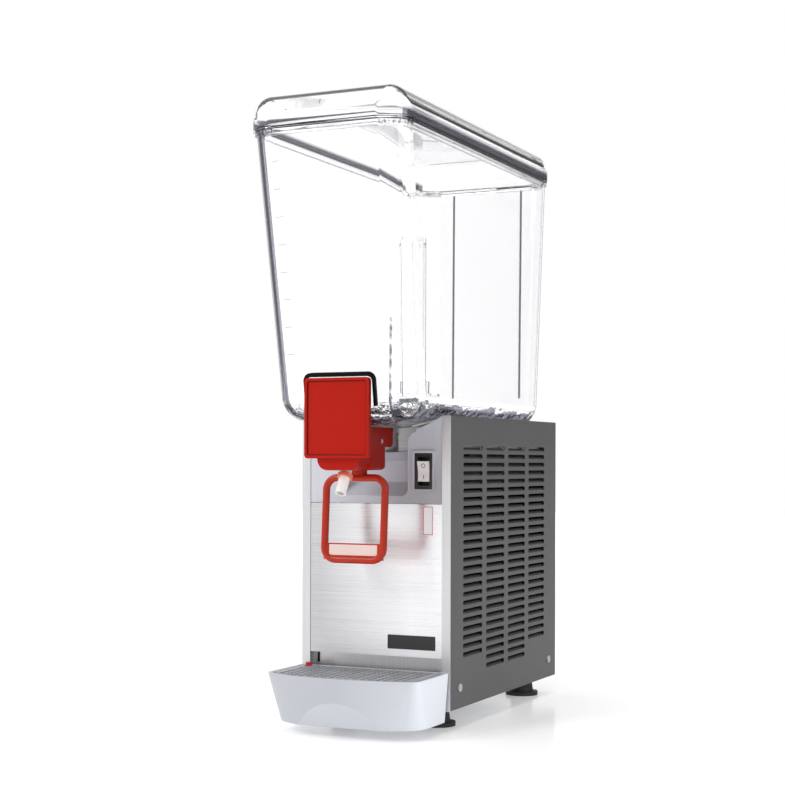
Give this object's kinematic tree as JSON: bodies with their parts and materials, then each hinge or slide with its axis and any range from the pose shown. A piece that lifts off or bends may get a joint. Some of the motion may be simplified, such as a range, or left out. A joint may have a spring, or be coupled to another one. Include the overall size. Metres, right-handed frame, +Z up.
{
  "type": "refrigerated juice dispenser",
  "caption": "Free-standing cold drink dispenser: clear covered bowl on a louvred steel cabinet, with a lever-worked tap at the front and a drip tray below it.",
  "frame": {"origin": "centre of the bounding box in plan, on the floor", "axes": "+X to the viewer's right when facing the tap, +Y to the back, +Z up"},
  "size_m": [0.1844, 0.477, 0.674],
  "materials": {
    "grey_paint": "satin",
    "bright_steel": "satin",
    "pan_steel": "satin",
    "black_rubber": "matte",
    "grey_plastic": "satin",
    "white_deck": "satin",
    "foam": "matte",
    "black_plastic": "satin",
    "ivory_plastic": "gloss",
    "dark_iron": "satin",
    "fins": "matte",
    "copper": "satin",
    "fan_plastic": "matte",
    "clear": "clear",
    "red_plastic": "gloss",
    "white_silicone": "satin",
    "tray_plastic": "gloss",
    "grille_plastic": "satin",
    "blue_plastic": "satin"
  },
  "bodies": {
    "cabinet": {"base_pan": "pan_steel", "rubber_feet": "black_rubber", "front_frame": "bright_steel", "front_lower_panel": "bright_steel", "front_upper_panel": "grey_plastic", "left_side_panel": "grey_paint", "right_side_panel": "grey_paint", "rear_panel": "grey_paint", "top_deck": "white_deck", "insulation_block": "foam", "panel_screws": "bright_steel", "front_badge": "black_plastic", "switch_body": "black_plastic", "cord_gland": "black_plastic", "compressor": "dark_iron", "compressor_grommets": "black_rubber", "condenser": "fins", "fan_bracket": "pan_steel", "fan_motor": "dark_iron", "filter_drier": "copper", "refrigerant_pipes": "copper", "thermostat": "ivory_plastic", "control_box": "black_plastic", "evaporator": "bright_steel", "evaporator_coil": "copper", "pump_motor": "dark_iron", "pump_cover": "clear", "spray_tube": "clear"},
    "rocker": {"switch_rocker": "ivory_plastic"},
    "fan": {"fan_blade": "fan_plastic"},
    "magnet": {"drive_magnet": "dark_iron"},
    "pump_wheel": {"impeller": "blue_plastic"},
    "bowl_unit": {"bowl": "clear", "bowl_gasket": "black_rubber", "tap_body": "red_plastic", "tap_cover": "red_plastic", "tap_seat_trim": "black_rubber", "neck_seal": "white_silicone", "spout_tube": "white_silicone", "spout_ring": "red_plastic", "lever_pins": "bright_steel", "lever_springs": "bright_steel"},
    "bowl_lid": {"lid": "clear"},
    "lever": {"push_lever": "red_plastic"},
    "tray": {"drip_tray": "tray_plastic"},
    "grille": {"tray_grille": "grille_plastic"},
    "float": {"tray_float": "red_plastic"}
  },
  "joints": [
    {"name": "bowl_lift", "type": "slide", "parent": "cabinet", "child": "bowl_unit", "axis": [0, 0, 1], "range_m": [0, 0.06]},
    {"name": "lid_lift", "type": "slide", "parent": "bowl_unit", "child": "bowl_lid", "axis": [0, 0, 1], "range_m": [0, 0.05]},
    {"name": "lever_push", "type": "hinge", "parent": "bowl_unit", "child": "lever", "pos_m": [0, -0.1415, 0.312], "axis": [1, 0, 0], "range_deg": [0, 16], "stiffness_Nm_per_rad": 1.2, "springref_deg": -11.46},
    {"name": "rocker_tilt", "type": "hinge", "parent": "cabinet", "child": "rocker", "pos_m": [0.0585, -0.106, 0.2802], "axis": [1, 0, 0], "range_deg": [-14, 0]},
    {"name": "fan_spin", "type": "hinge", "parent": "cabinet", "child": "fan", "pos_m": [0, -0.0395, 0.125], "axis": [0, 1, 0], "continuous": true},
    {"name": "magnet_spin", "type": "hinge", "parent": "cabinet", "child": "magnet", "pos_m": [0, -0.0095, 0.34], "axis": [0, 0, 1], "continuous": true},
    {"name": "impeller_spin", "type": "hinge", "parent": "cabinet", "child": "pump_wheel", "pos_m": [0, -0.0095, 0.356], "axis": [0, 0, 1], "continuous": true},
    {"name": "tray_slide", "type": "slide", "parent": "cabinet", "child": "tray", "axis": [0, -1, 0], "range_m": [0, 0.08]},
    {"name": "grille_lift", "type": "slide", "parent": "tray", "child": "grille", "axis": [0, 0, 1], "range_m": [0, 0.04]},
    {"name": "float_rise", "type": "slide", "parent": "tray", "child": "float", "axis": [0, 0, 1], "range_m": [0, 0.008]}
  ],
  "couplings": [
    {"joint": "impeller_spin", "follows": "magnet_spin", "ratio": 1}
  ]
}
